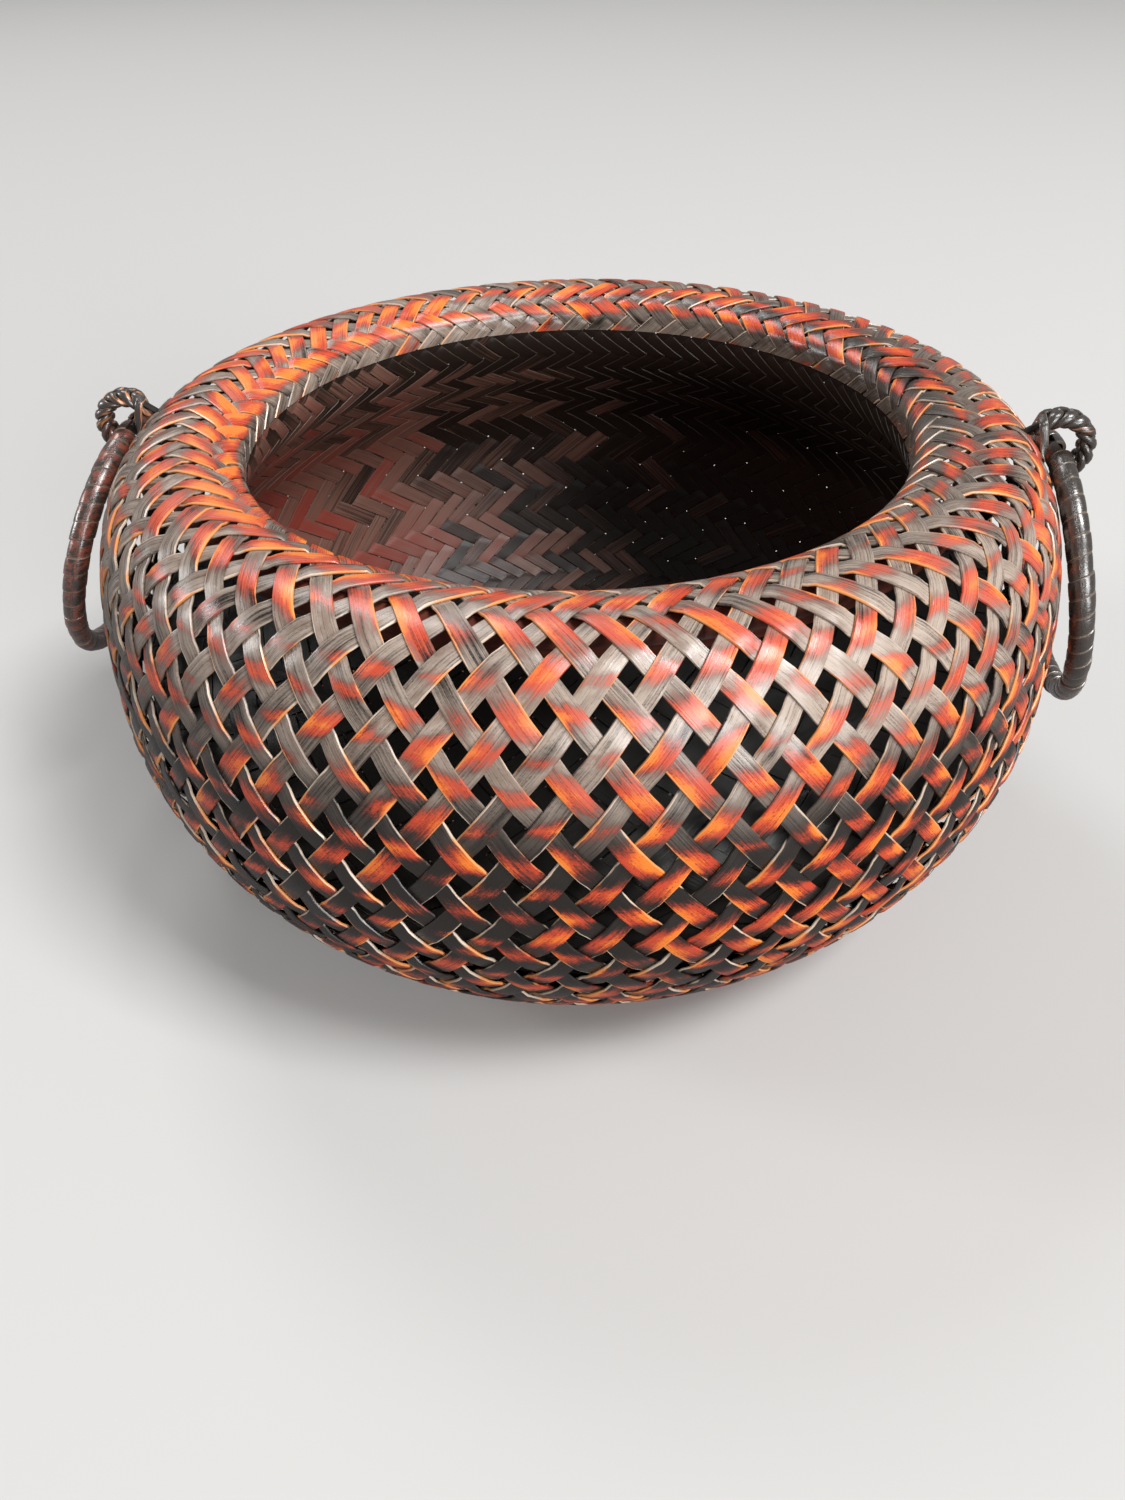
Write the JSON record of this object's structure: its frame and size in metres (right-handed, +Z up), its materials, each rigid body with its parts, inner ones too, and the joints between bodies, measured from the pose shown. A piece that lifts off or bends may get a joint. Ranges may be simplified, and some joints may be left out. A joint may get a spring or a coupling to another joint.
{
  "type": "ikebana basket",
  "caption": "Low round plaited bamboo flower basket with rolled rim, woven liner, foot hoop and two cane-bound ring handles hanging in lugs.",
  "frame": {"origin": "on the basket's axis, in the plane that its foot hoop stands on", "axes": "+Z up along the basket's axis, +X through the right-hand lug and ring, -X through the left-hand ones"},
  "size_m": [0.3579, 0.32, 0.1566],
  "materials": {
    "outer_lacquer": "satin red-brown to near-black lacquer on split bamboo, worn orange on the edges",
    "inner_weave": "dull dark brown lacquered bamboo",
    "hoop": "dark brown lacquered bamboo",
    "base": "dull brown bamboo",
    "cane": "glossy near-black brown cane"
  },
  "bodies": {
    "basket": {"right_leaning_strips": "outer_lacquer", "left_leaning_strips": "outer_lacquer", "inner_basket": "inner_weave", "rim_hoop": "hoop", "foot_hoop": "hoop", "base_plait": "base", "base_slat_x_1": "base", "base_slat_x_2": "base", "base_slat_y_1": "base", "base_slat_y_2": "base", "right_lug_core": "cane", "right_lug_winding": "cane", "left_lug_core": "cane", "left_lug_winding": "cane"},
    "right_ring": {"right_ring_core": "cane", "right_ring_winding": "cane"},
    "left_ring": {"left_ring_core": "cane", "left_ring_winding": "cane"}
  },
  "joints": [
    {"name": "right_ring_swing", "type": "hinge", "parent": "basket", "child": "right_ring", "pos_m": [0.15298, 0, 0.1427], "axis": [0, -1, 0], "range_deg": [-1, 212]},
    {"name": "left_ring_swing", "type": "hinge", "parent": "basket", "child": "left_ring", "pos_m": [-0.15298, 0, 0.1427], "axis": [0, 1, 0], "range_deg": [-8, 206]}
  ]
}
